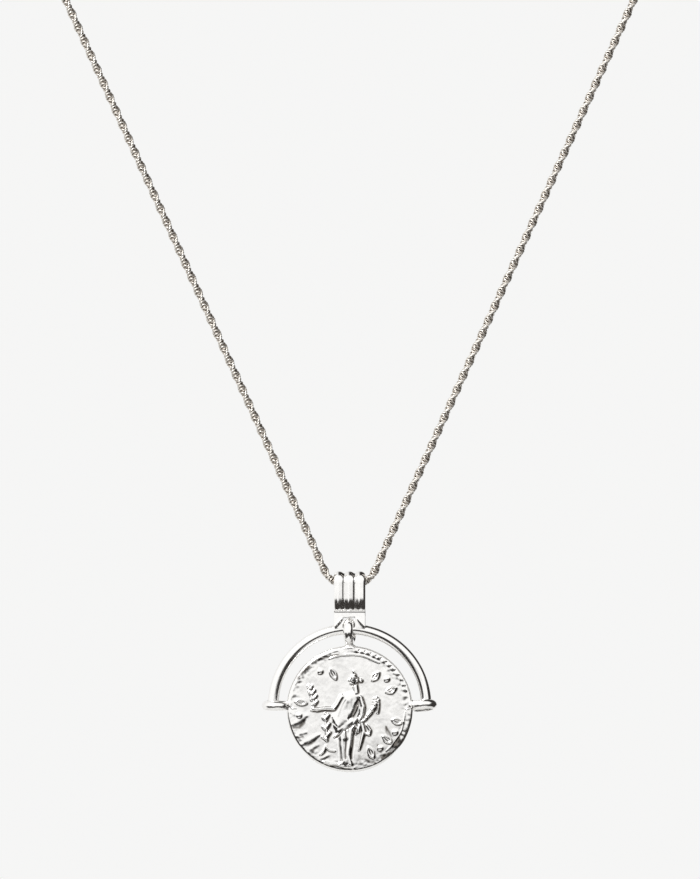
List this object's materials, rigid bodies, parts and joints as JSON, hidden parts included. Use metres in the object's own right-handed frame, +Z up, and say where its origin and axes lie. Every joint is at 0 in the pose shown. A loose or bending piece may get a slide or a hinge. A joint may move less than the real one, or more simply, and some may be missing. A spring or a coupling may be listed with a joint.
{
  "type": "coin pendant necklace",
  "caption": "Cast silver coin with a standing figure, looped on a wire arch under a ribbed bail, on a rope chain with a barrel clasp.",
  "frame": {"origin": "the point of the clasp's inner side that lies against the nape, midway along the clasp", "axes": "+X to the pendant's right as seen from the front, +Y from the pendant back to the clasp, +Z up as it is worn"},
  "size_m": [0.1088, 0.1076, 0.173],
  "materials": {
    "coin": "polished cast silver, darker in the recesses",
    "arch_and_bail": "polished silver wire",
    "rope_chain": "bright silver wire, darker between the links",
    "clasp": "polished silver"
  },
  "bodies": {
    "necklace": {"rope_chain": "rope_chain", "clasp": "clasp"},
    "pendant": {"coin": "coin", "arch_and_bail": "arch_and_bail"}
  },
  "joints": [
    {"name": "pendant_swing", "type": "hinge", "parent": "necklace", "child": "pendant", "pos_m": [0, -0.1024, -0.144], "axis": [1, 0, 0], "range_deg": [-90, 90]}
  ]
}
